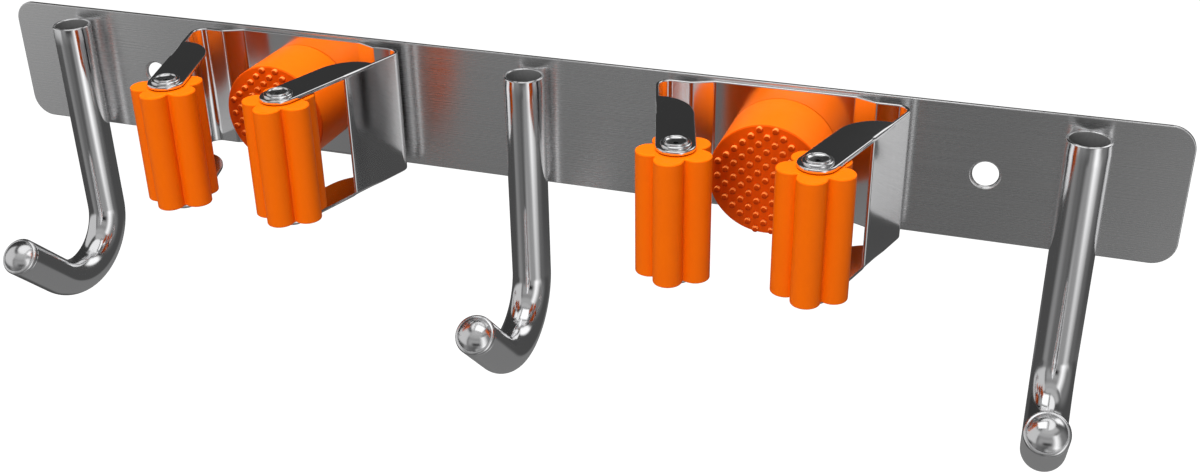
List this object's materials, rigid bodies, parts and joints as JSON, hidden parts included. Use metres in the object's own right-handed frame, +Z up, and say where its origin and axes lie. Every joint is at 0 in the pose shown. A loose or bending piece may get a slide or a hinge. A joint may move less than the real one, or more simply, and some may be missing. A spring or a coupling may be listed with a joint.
{
  "type": "wall mop holder rack",
  "caption": "Wall rack for mops and brooms: a long steel plate with capped J-shaped tube hooks and sprung clips that grip handles between lobed rollers and a nubbed bumper.",
  "frame": {"origin": "midway between the two wall screw holes, on the wall face of the back plate", "axes": "+X along the plate to the right seen from the front, +Y into the wall, +Z up"},
  "size_m": [0.33, 0.0516, 0.0824],
  "materials": {
    "plate_steel": "satin, brushed along the plate",
    "hook_steel": "polished",
    "cap_steel": "polished",
    "spring_steel": "bright rolled spring steel",
    "screw_steel": "satin",
    "bumper_rubber": "matte, with small nubs on the front face",
    "roller_rubber": "matte, smooth",
    "bush_plastic": "matte",
    "pin_steel": "polished"
  },
  "bodies": {
    "rack": {"back_plate": "plate_steel", "left_hook": "hook_steel", "middle_hook": "hook_steel", "right_hook": "hook_steel", "left_hook_cap": "cap_steel", "middle_hook_cap": "cap_steel", "right_hook_cap": "cap_steel", "left_clip_base": "spring_steel", "right_clip_base": "spring_steel", "left_bumper": "bumper_rubber", "right_bumper": "bumper_rubber", "left_bumper_screw": "screw_steel", "right_bumper_screw": "screw_steel"},
    "left_clip_left_arm": {"left_clip_left_arm": "spring_steel", "left_clip_left_pin": "pin_steel"},
    "left_clip_left_roller_set": {"left_clip_left_roller": "roller_rubber", "left_clip_left_bush": "bush_plastic"},
    "left_clip_right_arm": {"left_clip_right_arm": "spring_steel", "left_clip_right_pin": "pin_steel"},
    "left_clip_right_roller_set": {"left_clip_right_roller": "roller_rubber", "left_clip_right_bush": "bush_plastic"},
    "right_clip_left_arm": {"right_clip_left_arm": "spring_steel", "right_clip_left_pin": "pin_steel"},
    "right_clip_left_roller_set": {"right_clip_left_roller": "roller_rubber", "right_clip_left_bush": "bush_plastic"},
    "right_clip_right_arm": {"right_clip_right_arm": "spring_steel", "right_clip_right_pin": "pin_steel"},
    "right_clip_right_roller_set": {"right_clip_right_roller": "roller_rubber", "right_clip_right_bush": "bush_plastic"}
  },
  "joints": [
    {"name": "left_clip_left_arm_flex", "type": "hinge", "parent": "rack", "child": "left_clip_left_arm", "pos_m": [-0.08672, -0.00172, 0], "axis": [0, 0, -1], "range_deg": [0, 12], "stiffness_Nm_per_rad": 6},
    {"name": "left_clip_left_roller_spin", "type": "hinge", "parent": "left_clip_left_arm", "child": "left_clip_left_roller_set", "pos_m": [-0.08468, -0.0422, 0], "axis": [0, 0, 1], "continuous": true},
    {"name": "left_clip_right_arm_flex", "type": "hinge", "parent": "rack", "child": "left_clip_right_arm", "pos_m": [-0.04969, -0.00172, 0], "axis": [0, 0, 1], "range_deg": [0, 12], "stiffness_Nm_per_rad": 6},
    {"name": "left_clip_right_roller_spin", "type": "hinge", "parent": "left_clip_right_arm", "child": "left_clip_right_roller_set", "pos_m": [-0.05173, -0.0422, 0], "axis": [0, 0, 1], "continuous": true},
    {"name": "right_clip_left_arm_flex", "type": "hinge", "parent": "rack", "child": "right_clip_left_arm", "pos_m": [0.04969, -0.00172, 0], "axis": [0, 0, -1], "range_deg": [0, 12], "stiffness_Nm_per_rad": 6},
    {"name": "right_clip_left_roller_spin", "type": "hinge", "parent": "right_clip_left_arm", "child": "right_clip_left_roller_set", "pos_m": [0.05173, -0.0422, 0], "axis": [0, 0, 1], "continuous": true},
    {"name": "right_clip_right_arm_flex", "type": "hinge", "parent": "rack", "child": "right_clip_right_arm", "pos_m": [0.08672, -0.00172, 0], "axis": [0, 0, 1], "range_deg": [0, 12], "stiffness_Nm_per_rad": 6},
    {"name": "right_clip_right_roller_spin", "type": "hinge", "parent": "right_clip_right_arm", "child": "right_clip_right_roller_set", "pos_m": [0.08468, -0.0422, 0], "axis": [0, 0, 1], "continuous": true}
  ]
}
